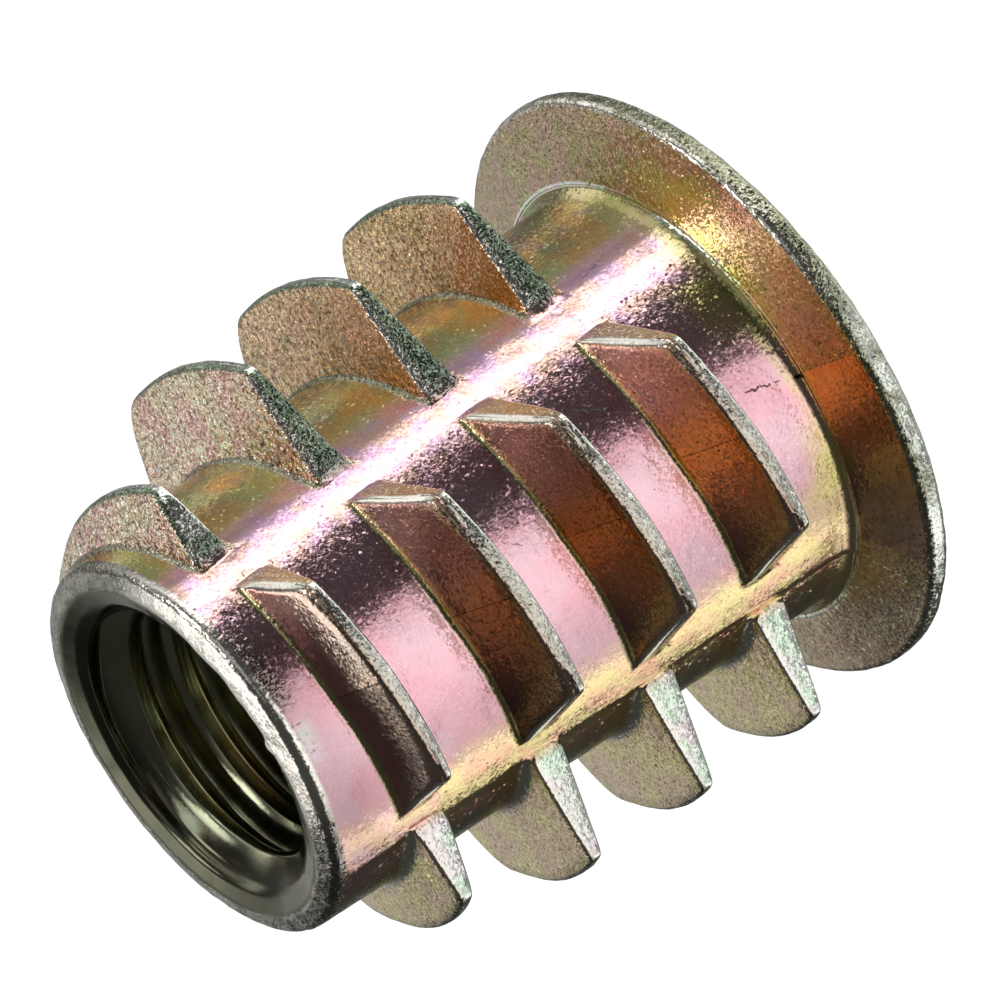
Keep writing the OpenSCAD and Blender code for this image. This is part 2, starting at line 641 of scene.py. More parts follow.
    @staticmethod
    def flank_rows(
        rise: np.ndarray, slope: np.ndarray, fillet: np.ndarray | float, corner: np.ndarray | float
    ) -> tuple[np.ndarray, np.ndarray]:
        """Thirteen rows from the foot of a rib of thread, up one flank, to the edge of its crest.

        Args:
            rise: Height of the rib, (columns, lines).
            slope: Narrowing of the rib with its height.
            fillet: Radius of the hollow at the foot.
            corner: Radius of the corner at the crest.

        Returns:
            Height above the wall and distance from the rib's middle plane, each (13, columns, lines).
        """
        root_half_w = WoodThread.root_w / 2.0
        fillet = np.minimum(fillet, 0.5 * rise)
        corner = np.minimum(corner, 0.35 * rise)
        lift, half_w = [], []
        for angle in np.radians([0.0, 30.0, 60.0]):
            lift.append(fillet * (1.0 - np.cos(angle)))
            half_w.append(root_half_w + fillet * (1.0 - np.sin(angle)))
        for part in np.linspace(0.0, 1.0, 7):
            up = fillet + (rise - corner - fillet) * part
            lift.append(up)
            half_w.append(root_half_w - slope * (up - fillet))
        end_w = root_half_w - slope * (rise - fillet)
        for angle in np.radians([30.0, 60.0, 90.0]):
            lift.append(rise - corner + corner * np.sin(angle))
            half_w.append(end_w - corner + corner * np.cos(angle))
        return np.array(lift), np.array(half_w)

    def settle(self, height: np.ndarray, beta: np.ndarray) -> np.ndarray:
        """Heights with each row brought to one height where two columns meet at a ridge.

        The middle of the two neighbours' heights holds at the ridge, and it eases away from there.
        The first and the last column differ by three quarters of a turn, which the rows take up
        over a wider stretch.

        Args:
            height: Heights, (rows, columns, lines).
            beta: Angles in degrees from the middle of each column.

        Returns:
            The new heights.
        """
        before = height[..., :1]
        after = height[..., -1:]
        meet_before = (before + np.roll(after, 1, axis=-2)) / 2.0
        meet_after = (after + np.roll(before, -1, axis=-2)) / 2.0
        reach = np.full((COLUMNS, self.grid.place.size), self.REACH)
        half = self.grid.place.size // 2
        reach[0, :half] = self.SEAM_REACH
        reach[-1, half:] = self.SEAM_REACH
        share = ease((np.abs(beta) - 45.0 + reach) / reach)
        target = np.where(self.grid.side > 0, meet_before - before, meet_after - after)
        return height + target * share

    def between(self, upper: Rows, lower: Rows, rows: int) -> Rows:
        """Rows on the wall between the last row of one stretch and the first of the next.

        Heights and angles run straight from one to the other.

        Args:
            upper: The stretch above.
            lower: The stretch below.
            rows: Number of rows, without the two ends.

        Returns:
            The rows.
        """
        part = (np.arange(1, rows + 1) / (rows + 1))[:, None, None]
        beta = upper.beta[-1] + (lower.beta[0] - upper.beta[-1]) * part
        height = upper.height[-1] + (lower.height[0] - upper.height[-1]) * part
        return Rows.plain(beta, self.body.root_r(height, beta), height, Zone.WALL)

    def neck_fillet(self, beta: np.ndarray) -> np.ndarray:
        """Radius of the neck's fillet: tighter over a stretch about one azimuth, by a bell curve.

        Args:
            beta: Angles in degrees from the middle of each column.

        Returns:
            The radii.
        """
        body = self.body
        near = bell(turned(self.grid.centre + beta - body.tight_at), body.tight_w)
        return body.neck_fillet * (1.0 - body.tight_share * near)

    def shank(self) -> Rows:
        """Rows from the leading end's rounding to the neck: the wall and the four turns of thread.

        Returns:
            The rows.
        """
        body = self.body
        turns = [self.fin_rows(level) for level in range(LEVELS)]
        sweep = math.radians(body.neck_sweep)
        tip_z = np.array(body.tip_z)
        tip_beta, neck_beta = turns[0].beta[:1], turns[-1].beta[-1:]
        neck_z = body.neck_z + self.neck_fillet(neck_beta) * math.sin(sweep)
        tip = Rows.plain(tip_beta, body.root_r(tip_z, tip_beta), tip_z, Zone.WALL)
        neck = Rows.plain(neck_beta, body.root_r(neck_z, neck_beta), neck_z, Zone.WALL)
        parts = [self.between(tip, turns[0], self.LEAD_ROWS)]
        for turn, below in zip(turns, turns[1:]):
            parts += [turn, self.between(turn, below, self.VALLEY_ROWS)]
        parts += [turns[-1], self.between(turns[-1], neck, self.TAIL_ROWS)]
        return Rows.joined(parts)

    # ---- the flange, the socket and the bore -------------------------------------------------

    def flange(self, beta: np.ndarray) -> list[Rows]:
        """Rows over the neck's fillet, the flange's underside, its rim and its outer face.

        The fillet is an arc that stops short of the slope, so the two meet in a crease with a thin
        bead on it. The slope and the rim are straight, with arcs between them. The slope rises a
        little towards the parting plane.

        Args:
            beta: Angles of the lines at the neck, (1, columns, lines).

        Returns:
            The stretches of rows, in order.
        """
        body = self.body
        sweep = np.radians(np.linspace(0.0, body.neck_sweep, 8))[:, None, None]
        base = body.root_r(np.array(body.neck_z), beta)
        fillet = self.neck_fillet(beta)
        crease_r = base + fillet * (1.0 - math.cos(sweep[-1, 0, 0]))
        fillet_r = crease_r - fillet * (np.cos(sweep) - math.cos(sweep[-1, 0, 0]))
        fillet_z = body.neck_z + fillet * (math.sin(sweep[-1, 0, 0]) - np.sin(sweep))
        rows = [Rows.plain(beta, fillet_r, fillet_z, Zone.NECK)]

        azimuth = np.radians(self.grid.centre + beta)
        bead_r = crease_r + np.array(body.bead_out)[:, None, None]
        bead_z = body.neck_z + np.array(body.bead_up)[:, None, None]
        rows.append(Rows.plain(beta, bead_r, bead_z, Zone.NECK))

        edge_r = body.flange_r - body.rim_round
        part = (np.linspace(0.0, 1.0, 16) ** 0.9)[:, None, None]
        start_r = crease_r + body.bead_end
        slope_r = start_r + (edge_r - start_r) * part
        inward = 1.0 - np.abs(slope_r * np.cos(azimuth)) / body.flange_r
        slope_z = body.neck_z + (body.rim_z - body.neck_z) * part
        slope_z = slope_z + body.draft_rise * (2.0 * inward - 1.0) * part
        rows.append(Rows.plain(beta, slope_r, slope_z, Zone.UNDERSIDE))

        arc = np.radians([30.0, 60.0, 90.0])[:, None, None]
        arc_r = edge_r + body.rim_round * np.sin(arc)
        arc_z = slope_z[-1:] - body.rim_round * (1.0 - np.cos(arc))
        rows.append(Rows.plain(beta, arc_r, arc_z, Zone.RIM))
        low = body.rim_round
        part = np.array([0.2, 0.4, 0.6, 0.8, 1.0])[:, None, None]
        side_z = arc_z[-1:] + (low - arc_z[-1:]) * part
        rows.append(Rows.plain(beta, np.array(body.flange_r), side_z, Zone.RIM))
        arc_r = edge_r + body.rim_round * np.cos(arc)
        rows.append(Rows.plain(beta, arc_r, low - low * np.sin(arc), Zone.RIM))
        return rows

    def socket(self, outer: np.ndarray) -> list[Rows]:
        """Rows over the outer face, into the hexagon socket and over the cone at its floor.

        The hexagon's radius is half its width over the cosine of the angle from the nearest flat's
        middle. On the outer face the lines turn from those of the rim to those of the hexagon.

        Args:
            outer: beta of the rim's lines.

        Returns:
            The stretches of rows, in order.
        """
        body, drive = self.body, self.drive
        part = np.linspace(0.15, 1.0, 6)[:, None, None]
        beta = outer + (self.inner_beta - outer) * part
        edge_r = body.flange_r - body.rim_round
        face_r = edge_r + (drive.face_r - edge_r) * part
        rows = [Rows.plain(beta, face_r, np.array(0.0), Zone.OUTER_FACE)]

        azimuth = self.grid.centre + self.inner_beta
        hexagon = drive.flats / 2.0 / np.cos(np.radians(np.mod(azimuth, 60.0) - 30.0))
        edge = drive.edge * np.array([1.0, 0.3, 0.0])[:, None, None]
        edge_z = drive.edge * np.array([0.0, 0.3, 1.0])[:, None, None]
        rows.append(Rows.plain(self.inner_beta, hexagon + edge, edge_z, Zone.SOCKET))
        wall_z = np.linspace(drive.wall_start, drive.depth - drive.floor_corner, 7)[:, None, None]
        rows.append(Rows.plain(self.inner_beta, hexagon, wall_z, Zone.SOCKET))
        floor_r = drive.flats / 2.0 - drive.floor_ledge
        cone = np.array([0.0, 0.5, 1.0])[:, None, None]
        cone_r = floor_r + (self.bore.minor_r - floor_r) * cone
        rows.append(Rows.plain(self.inner_beta, cone_r, drive.depth + drive.cone_h * cone, Zone.SOCKET))
        return rows

    def inner_thread(self) -> list[Rows]:
        """Rows up the machine thread, each at one phase of its helix.

        A row climbs with the azimuth at the thread's own lead, and drops back one turn behind the
        seam. Near both ends the climb fades, so that the rows end level. The radius is a trapezoid of
        the phase, height over pitch less azimuth over a turn, and no less than the mouth's chamfer.

        Returns:
            The rows, as the one stretch of a list.
        """
        bore, drive = self.bore, self.drive
        start = drive.depth + drive.cone_h + bore.thread_start
        turns = (self.body.height - bore.mouth_depth - start) / bore.pitch
        phases = np.array([0.0, 0.115, 0.15, 0.28, 0.42, 0.5, 0.58, 0.72, 0.85, 0.885])
        steps = (np.arange(math.ceil(turns))[:, None] + phases).ravel()
        steps = steps[steps < turns - 0.03][:, None, None]
        flat_z = start + bore.pitch * steps
        turn = np.mod(self.grid.centre + self.inner_beta - bore.seam, 360.0) / 360.0
        climb = np.where(turn < bore.seam_start, turn, 0.0)
        back = (1.0 - turn) / (1.0 - bore.seam_start) * bore.seam_start
        climb = np.where(turn < bore.seam_start, climb, back) - 0.5
        fade = np.clip(steps / bore.fade_turns, 0.0, 1.0)
        fade = fade * np.clip((turns - steps) / bore.fade_turns, 0.0, 1.0)
        height = flat_z + bore.pitch * climb * fade
        phase = np.mod((height - start) / bore.pitch - turn + 0.5, 1.0)
        away = np.minimum(phase, 1.0 - phase)
        depth = np.clip((away - bore.crest_flat / 2.0) / bore.flank_part, 0.0, 1.0)
        radius = bore.minor_r + (bore.major_r - bore.minor_r) * ease(depth)
        chamfer_z = self.body.height - bore.mouth_depth
        chamfer = bore.mouth_root_r - (chamfer_z - height)
        radius = -soft_min(-radius, -chamfer, bore.corner)
        return [Rows.plain(self.inner_beta, radius, height, Zone.BORE)]

    def mouth_r(self) -> np.ndarray:
        """Radius of the mouth's inner edge.

        The mouth's radius, less the burr's width, its raggedness and the nick where the burr is,
        and with a little raggedness elsewhere.

        Returns:
            Radii, (columns, lines).
        """
        bore = self.bore
        azimuth = self.grid.centre + self.inner_beta
        away = np.abs(turned(azimuth - bore.burr_middle))
        burr = 1.0 - ease((away - bore.burr_half + bore.burr_fall / 2.0) / bore.burr_fall)
        angle = np.radians(azimuth)
        on_edge = np.stack([np.cos(angle), np.sin(angle), 0.0 * angle], axis=-1) * bore.mouth_r
        ragged = self.noise.cloud(on_edge, bore.ragged_cell, 3) * bore.ragged
        nick = bore.nick_depth * bell(turned(azimuth - bore.nick_at), bore.nick_w)
        drawn_in = burr * (bore.burr_w + ragged + nick)
        return bore.mouth_r - drawn_in + (1.0 - burr) * ragged * bore.ragged_rest

    def mouth(self, outer: np.ndarray) -> list[Rows]:
        """Rows over the mouth's chamfer, the lip, which leans outwards, and its rounding.

        Args:
            outer: beta of the lines that the shank starts with.

        Returns:
            The stretches of rows, in order.
        """
        body, bore = self.body, self.bore
        edge = self.mouth_r()
        part = np.array([0.0, 0.25, 0.5, 0.75, 0.92])[:, None, None]
        cone_r = bore.mouth_root_r + (edge - bore.mouth_root_r) * part
        cone_z = body.height - bore.mouth_depth * (1.0 - part)
        rows = [Rows.plain(self.inner_beta, cone_r, cone_z, Zone.MOUTH)]
        tip_r = body.root_r(np.array(body.tip_z), outer)
        shoulder_r = tip_r - body.tip_round * (1.0 - math.sin(math.radians(body.tip_lean)))
        part = np.array([0.03, 0.1, 0.25, 0.45, 0.65, 0.85])[:, None, None]
        beta = self.inner_beta + (outer - self.inner_beta) * ease(part)
        lip_z = body.height - body.tip_drop * part - 0.02 * bell(part, 0.08)
        rows.append(Rows.plain(beta, edge + (shoulder_r - edge) * part, lip_z, Zone.LIP))
        angle = np.radians(np.linspace(body.tip_lean, 90.0, 7))[:, None, None]
        round_r = tip_r - body.tip_round * (1.0 - np.sin(angle))
        round_z = body.tip_z + body.tip_round * np.cos(angle)
        rows.append(Rows.plain(outer, round_r, round_z, Zone.LIP))
        return rows

    # ---- the whole surface -------------------------------------------------------------------

    def build(self) -> "Surface":
        """All rows in order, displaced along their normals by the casting's unevenness.

        Returns:
            The closed surface.
        """
        shank = self.shank()
        tip_beta, neck_beta = shank.beta[:1], shank.beta[-1:]
        parts = [shank, *self.flange(neck_beta), *self.socket(neck_beta)]
        parts += [*self.inner_thread(), *self.mouth(tip_beta)]
        surface = Surface.of(self.grid, Rows.joined(parts))
        surface.displace(self.noise)
        return surface


# How far noise moves each zone, in millimetres: by broad waves, by close ones and by a ragged grain.
UNEVEN = {
    Zone.WALL: (0.008, 0.006, 0.0),
    Zone.FOOT: (0.004, 0.004, 0.0),
    Zone.UPPER_FLANK: (0.004, 0.004, 0.0),
    Zone.UPPER_EDGE: (0.004, 0.004, 0.004),
    Zone.CREST: (0.006, 0.008, 0.004),
    Zone.LOWER_EDGE: (0.006, 0.008, 0.004),
    Zone.LOWER_FLANK: (0.004, 0.004, 0.0),
    Zone.NECK: (0.004, 0.004, 0.0),
    Zone.UNDERSIDE: (0.008, 0.006, 0.0),
    Zone.RIM: (0.005, 0.004, 0.010),
    Zone.SOCKET: (0.004, 0.003, 0.0),
    Zone.BORE: (0.0, 0.003, 0.0),
    Zone.MOUTH: (0.004, 0.006, 0.0),
    Zone.LIP: (0.0, 0.005, 0.008),
}


@dataclass
class Surface:
    """The closed grid of points, in millimetres, with what each point belongs to."""

    points: np.ndarray
    beta: np.ndarray
    zone: np.ndarray
    rise: np.ndarray
    column: np.ndarray
    place: np.ndarray

    @classmethod
    def of(cls, grid: Grid, rows: Rows) -> "Surface":
        """Turns rows of angle, radius and height into points: radius times cosine and sine.

        Args:
            grid: The lines of the surface.
            rows: All its rows.

        Returns:
            The surface.
        """
        angle = np.radians(grid.flat(grid.centre + rows.beta))
        radius, height = grid.flat(rows.radius), grid.flat(rows.height)
        points = np.stack([radius * np.cos(angle), radius * np.sin(angle), height], axis=-1)
        column = np.repeat(np.arange(COLUMNS), grid.place.size)
        column = np.broadcast_to(column, angle.shape)
        place = np.broadcast_to(np.tile(grid.place, COLUMNS), angle.shape)
        flat = [grid.flat(a) for a in (rows.beta, rows.zone, rows.rise)]
        return cls(points, *flat, column, place)

    def normals(self) -> np.ndarray:
        """Outward unit normals: the cross product of the steps to the neighbouring lines and rows.

        Returns:
            Array (rows, lines, 3).
        """
        down = np.roll(self.points, -1, 0) - np.roll(self.points, 1, 0)
        along = np.roll(self.points, -1, 1) - np.roll(self.points, 1, 1)
        cross = np.cross(along, down)
        return cross / np.maximum(np.linalg.norm(cross, axis=-1, keepdims=True), 1e-9)

    def displace(self, noise: Noise) -> None:
        """Moves the points along their normals by clouds of noise, each zone by its own amount.

        Args:
            noise: The noise of the casting.
        """
        normals = self.normals()
        broad = noise.cloud(self.points, 1.3, 2)
        fine = noise.cloud(self.points + 40.0, 0.35, 3)
        ragged = noise.cloud(self.points + 80.0, 0.16, 2)
        amount = np.zeros(self.zone.shape)
        for zone, (wide, close, rough) in UNEVEN.items():
            moved = wide * broad + close * fine + rough * ragged
            amount = np.where(self.zone == zone, moved, amount)
        self.points = self.points + normals * amount[..., None]
        self.points[..., 2] = np.maximum(self.points[..., 2], 0.0)

    def mesh(self, name: str) -> bpy.types.Mesh:
        """A closed mesh of four-sided faces that join every row to the next and the last to the first.

        Args:
            name: Name of the mesh.

        Returns:
            The mesh, in metres.
        """
        rows, lines = self.zone.shape
        index = np.arange(rows * lines).reshape(rows, lines)
        below, beside = np.roll(index, -1, 0), np.roll(index, -1, 1)
        across = np.roll(below, -1, 1)
        corners = np.stack([index, beside, across, below], axis=-1).reshape(-1, 4)
        mesh = bpy.data.meshes.new(name)
        mesh.vertices.add(rows * lines)
        mesh.vertices.foreach_set("co", (self.points * MM).astype(np.float32).ravel())
        mesh.loops.add(corners.size)
        mesh.loops.foreach_set("vertex_index", corners.ravel().astype(np.int32))
        mesh.polygons.add(len(corners))
        mesh.polygons.foreach_set("loop_start", np.arange(0, corners.size, 4, dtype=np.int32))
        mesh.polygons.foreach_set("use_smooth", np.ones(len(corners), dtype=bool))
        mesh.update(calc_edges=True)
        mesh.validate()
        return mesh


@dataclass(frozen=True)
class Film:
    """A stretch of chromate film, or of painted shade or light: its colour, the colour it drifts to, and how
    grainy it is.
    """

    colour: tuple[float, float, float]
    drift: tuple[float, float, float]
    cell: float
    grain: float


# The wall and its valleys.
PINK = Film((0.95, 0.52, 0.58), (0.93, 0.60, 0.66), 0.9, 0.12)
BLUSH = Film((0.95, 0.62, 0.52), (0.92, 0.58, 0.80), 0.35, 0.14)
GOLD = Film((0.94, 0.56, 0.36), (0.88, 0.72, 0.34), 0.4, 0.22)
STRAW = Film((0.86, 0.78, 0.27), (0.90, 0.68, 0.40), 0.5, 0.15)
BRASS = Film((0.76, 0.50, 0.18), (0.56, 0.58, 0.26), 0.6, 0.25)
# This dark ochre is painted shade, for the hollows at the front ribs' feet and low in the neck's crease.
OCHRE_SHADE = Film((0.54, 0.52, 0.20), (0.70, 0.60, 0.30), 0.5, 0.25)
OLIVE = Film((0.62, 0.56, 0.28), (0.50, 0.52, 0.34), 0.6, 0.35)
# The flanks of the ribs of thread.
BRONZE = Film((0.92, 0.73, 0.62), (0.92, 0.68, 0.50), 0.6, 0.45)
SHELL = Film((0.98, 0.74, 0.60), (0.92, 0.76, 0.62), 0.5, 0.13)
ORANGE = Film((0.96, 0.58, 0.26), (0.96, 0.64, 0.30), 0.4, 0.42)
UMBER = Film((0.50, 0.34, 0.28), (0.44, 0.33, 0.28), 0.5, 0.25)
HONEY = Film((0.98, 0.66, 0.37), (0.64, 0.48, 0.22), 0.5, 1.3)
ROSE = Film((1.00, 0.62, 0.52), (0.98, 0.80, 0.54), 0.4, 1.3)
COPPER = Film((0.92, 0.58, 0.34), (0.90, 0.50, 0.30), 0.4, 0.3)
KHAKI = Film((0.90, 0.80, 0.38), (0.86, 0.66, 0.44), 0.5, 0.5)
# Their edges, crests and ends.
# This dark green is the left ribs' ends' own colour, and is laid as painted shade on the wall by the leading
# end, in the left ribs' feet and on the crests' upper corners.
FERN_AND_SHADE = Film((0.22, 0.28, 0.20), (0.34, 0.40, 0.29), 0.3, 0.8)
# This mint is the low ribs' ends' own colour, and is laid as a painted glint on the wall by the leading end,
# in the low ribs' feet and on the neck's bead.
MINT_AND_GLINT = Film((0.80, 1.00, 0.78), (0.98, 0.88, 0.88), 0.35, 0.3)
SILVER = Film((0.98, 1.00, 0.92), (0.86, 0.92, 0.80), 0.25, 0.35)
# This cream is a painted highlight, for edges and roundings that catch the light.
CREAM_HIGHLIGHT = Film((1.00, 0.97, 0.87), (0.97, 0.90, 0.80), 0.4, 0.25)
TAN = Film((0.94, 0.76, 0.50), (0.88, 0.68, 0.42), 0.4, 0.5)
RUSSET = Film((0.36, 0.20, 0.13), (0.34, 0.25, 0.19), 0.3, 0.3)
HIDE = Film((0.70, 0.54, 0.42), (0.62, 0.46, 0.34), 0.3, 0.4)
# The flange.
MOSS = Film((0.64, 0.56, 0.28), (0.74, 0.50, 0.36), 0.3, 0.8)
# This lemon is a painted reflection: the collar's highlight as the flange's underside mirrors it.
LEMON_REFLECTION = Film((1.00, 0.98, 0.40), (1.00, 0.92, 0.50), 0.3, 0.4)
AMBER = Film((0.96, 0.62, 0.28), (0.96, 0.54, 0.24), 0.4, 0.25)
SAND = Film((1.00, 0.82, 0.56), (1.00, 0.74, 0.50), 0.4, 0.28)
BARK = Film((0.36, 0.37, 0.25), (0.52, 0.52, 0.38), 0.2, 0.8)
# The lip and the bore.
SOOT = Film((0.18, 0.21, 0.16), (0.36, 0.34, 0.29), 0.25, 0.6)
# These two are painted shade inside the recess: murk deep in the bore, and near black ink at its mouth.
MURK_SHADE = Film((0.40, 0.43, 0.29), (0.36, 0.34, 0.22), 0.8, 0.04)
INK_SHADE = Film((0.12, 0.13, 0.09), (0.16, 0.15, 0.10), 0.5, 0.02)
GLEAM = Film((0.90, 1.00, 0.86), (0.96, 0.94, 0.80), 0.3, 0.04)


class Sector(Enum):
    """Stretches round the axis: two azimuths in degrees, and the degrees over which the ends ease out.

    -90 is the middle of the front column. HIGH lies from there towards 0, where the left column
    stands, and LOW the other way.
    """

    LEFT_VALLEY = (-35.0, 60.0, 8.0)
    LEFT_FOLDS = (-26.0, 50.0, 12.0)
    LEFT_WEAR = (-26.0, 30.0, 10.0)
    HIGH_RIDGE = (-57.0, -36.0, 7.0)
    HIGH_SHOULDER = (-74.0, -54.0, 14.0)
    HIGH_COLLAR = (-74.0, -50.0, 10.0)
    FRONT_WEAR = (-124.0, -70.0, 12.0)
    LOW_COLLAR = (-140.0, -116.0, 12.0)
    LOW_NECK = (-140.0, -104.0, 16.0)
    LOW_RIDGE = (-150.0, -124.0, 12.0)
    LOW_VALLEY = (-225.0, -147.0, 12.0)
    TIP_FRONT = (-152.0, -66.0, 14.0)
    TIP_SHADE = (-84.0, -62.0, 8.0)
    TIP_GLINT = (-101.0, -90.0, 5.0)
    NECK_HIGH = (-82.0, 30.0, 14.0)
    FLANGE_LEFT = (-25.0, 110.0, 40.0)
    FLANGE_HIGH = (-87.0, -62.0, 10.0)
    FLANGE_LOW = (-240.0, -140.0, 24.0)
    RIM_HIGH = (-75.0, 20.0, 20.0)
    RIM_LOW = (-200.0, -84.0, 24.0)
    LIP_NEAR = (-118.0, -28.0, 20.0)
    LIP_FAR = (50.0, 150.0, 30.0)
    BORE_GLEAM = (110.0, 196.0, 16.0)


class Paint:
    """The film's colour over the surface, with painted shade, highlights and a reflection laid into it, as
    attributes that the finish reads.

    The front flanks turn a darker or lighter tint from turn to turn: LEVELS_NEAR and LEVELS_FAR
    are those on either side of the parting line at the heights TURNS. LEFT_LEVELS and LEFT_TURNS
    are the left column's.
    """

    TURNS = (2.9, 5.6, 8.3, 10.5)
    LEVELS_NEAR = (1.0, 0.74, 0.48, 0.9)
    LEVELS_FAR = (1.0, 1.0, 0.55, 0.75)
    LEFT_TURNS = (3.3, 6.1, 8.8, 11.2)
    LEFT_LEVELS = (0.95, 0.76, 0.97, 1.0)

    def __init__(self, surface: Surface, noise: Noise) -> None:
        """Prepares the measures that the colours follow.

        Args:
            surface: The finished grid.
            noise: Noise for the drift.
        """
        self.surface, self.noise = surface, noise
        points = surface.points
        self.azimuth = np.degrees(np.arctan2(points[..., 1], points[..., 0]))
        self.radius = np.hypot(points[..., 0], points[..., 1])
        self.height = points[..., 2]
        self.front = surface.column % 2
        self.left, self.low = surface.column == 0, surface.column == 2
        self.tint = np.zeros(points.shape)
        self.grain = np.zeros(points.shape[:-1])
        self.wear = np.zeros(points.shape[:-1])

    # ---- where a film lies -------------------------------------------------------------------

    def sector(self, sector: Sector) -> np.ndarray:
        """1 inside a sector, easing to 0 over its edge.

        Args:
            sector: The stretch of azimuths.

        Returns:
            Array (rows, lines).
        """
        start, end, edge = sector.value
        away = np.abs(turned(self.azimuth - (start + end) / 2.0))
        return 1.0 - ease((away - (end - start) / 2.0 + edge / 2.0) / edge)

    def zones(self, *names: Zone) -> np.ndarray:
        """1 in those zones and 0 elsewhere."""
        return np.isin(self.surface.zone, names).astype(float)

    def above(self, height: float, fade: float) -> np.ndarray:
        """0 up to a height in millimetres, easing to 1 over the next fade millimetres."""
        return ease((self.height - height) / fade)

    def below(self, height: float, fade: float) -> np.ndarray:
        """1 up to a height in millimetres, easing to 0 over the next fade millimetres."""
        return 1.0 - self.above(height, fade)

    # ---- laying it ---------------------------------------------------------------------------

    def lay(self, film: Film, share: np.ndarray | float) -> None:
        """Lays a film over part of the surface.

        The film's own colour is a straight mix of its two colours, by a cloud of noise. The tint
        and the grain are then a straight mix of what was there and the film, by share.

        Args:
            film: The film.
            share: How much of it covers each point.
        """
        cloud = self.noise.cloud(self.surface.points + 9.0, film.cell, 3)
        mix = ease(0.5 + 0.9 * cloud)[..., None]
        colour = np.array(film.colour) * (1.0 - mix) + np.array(film.drift) * mix
        share = np.broadcast_to(share, self.grain.shape)[..., None]
        self.tint = self.tint * (1.0 - share) + colour * share
        self.grain = self.grain * (1.0 - share[..., 0]) + film.grain * share[..., 0]

    def shade(self, share: np.ndarray, level: np.ndarray | float) -> None:
        """Multiplies the tint by level where share is 1, and leaves it alone where share is 0."""
        self.tint = self.tint * (1.0 + share * (level - 1.0))[..., None]

    def wall(self) -> None:
        """Lays the films of the wall: pink in front, gold and olive in the valleys of the sides.

        The collar by the neck turns yellow, the front is darkened as painted shade towards the leading end
        and by the neck on its low ridge, the wall by the leading end carries a painted shade and a painted
        glint, and the left valleys have brown folds.
        """
        self.lay(PINK, 1.0)
        self.lay(BRASS, self.sector(Sector.LEFT_VALLEY))
        self.lay(OLIVE, self.sector(Sector.LOW_VALLEY))
        self.lay(GOLD, self.sector(Sector.LOW_RIDGE))
        collar = self.sector(Sector.HIGH_COLLAR) + 0.8 * self.sector(Sector.LOW_COLLAR)
        self.lay(STRAW, collar * self.below(1.5, 0.8))
        self.lay(STRAW, 0.8 * self.sector(Sector.LOW_NECK) * self.below(1.2, 0.4))
        self.lay(BLUSH, self.sector(Sector.HIGH_RIDGE))
        tip = self.above(12.25, 0.3)
        # Painted shade and a painted glint on the wall by the leading end: dark green beside the front's
        # middle, and mint at it.
        self.lay(FERN_AND_SHADE, 0.6 * tip * self.sector(Sector.TIP_SHADE))
        self.lay(MINT_AND_GLINT, 0.7 * tip * self.sector(Sector.TIP_GLINT))
        self.lay(BLUSH, 0.5 * self.sector(Sector.LOW_RIDGE) * self.above(10.0, 2.0))
        folds = self.noise.cloud(self.surface.points * (1.0, 1.0, 2.0), 0.5, 3)
        self.lay(UMBER, 0.6 * self.sector(Sector.LEFT_FOLDS) * ease(1.6 * folds))
        wall = self.zones(Zone.WALL)
        self.grain = self.grain + 0.14 * self.sector(Sector.HIGH_SHOULDER) * wall
        # Painted shade: the front darker towards the leading end, and the low ridge darker by the neck.
        self.shade(self.sector(Sector.TIP_FRONT) * self.above(11.2, 1.2), 0.72)
        self.shade(self.sector(Sector.LOW_RIDGE) * self.below(1.4, 1.0), 0.85)
        self.wear = (self.sector(Sector.FRONT_WEAR) + self.sector(Sector.LEFT_WEAR)) * wall

    def flanks(self) -> None:
        """Lays the films of the ribs' flanks, which fade in over the foot of each rib.

        The front ones are bronze and orange, umber at their low ends and pale on the first turn,
        with the hairline of the mould's parting plane. The left ones go from honey to rose towards
        the tip, and the low ones are khaki.
        """
        beta = self.surface.beta
        flank = self.zones(Zone.FOOT, Zone.UPPER_FLANK, Zone.LOWER_FLANK) * ease(self.surface.rise / 0.12)
        front, left, near = flank * self.front, flank * self.left, beta > 0.0
        self.lay(BRONZE, front)
        self.lay(ORANGE, 0.85 * front * near * (1.0 - ease((beta - 2.0) / 9.0)))
        self.lay(ORANGE, front * ~near)
        self.lay(UMBER, front * ease((-beta - 13.0) / 15.0))
        self.lay(SHELL, 0.85 * front * self.above(9.2, 1.2))
        level_near = np.interp(self.height, self.TURNS, self.LEVELS_NEAR)
        level_far = np.interp(self.height, self.TURNS, self.LEVELS_FAR)
        self.shade(front, np.where(near, level_near, level_far))
        self.shade(front * (self.surface.place == Grid.MIDDLE), 0.4)
        self.lay(HONEY, left)
        self.lay(ROSE, left * self.above(5.0, 5.0))
        self.lay(COPPER, 0.6 * left * ease((-beta - 6.0) / 16.0) * self.below(5.5, 2.5))
        self.shade(left, np.interp(self.height, self.LEFT_TURNS, self.LEFT_LEVELS))
        self.lay(KHAKI, flank * self.low)

    def crests(self) -> None:
        """Lays the films of the ribs' feet, edges and crests, and those of their slanted ends, with painted
        shade in the left and front feet and on the crests' upper corners, a painted glint in the low feet,
        and a painted highlight on the ends' upper edges.
        """
        surface = self.surface
        foot = self.zones(Zone.FOOT) * ease(surface.rise / 0.1)
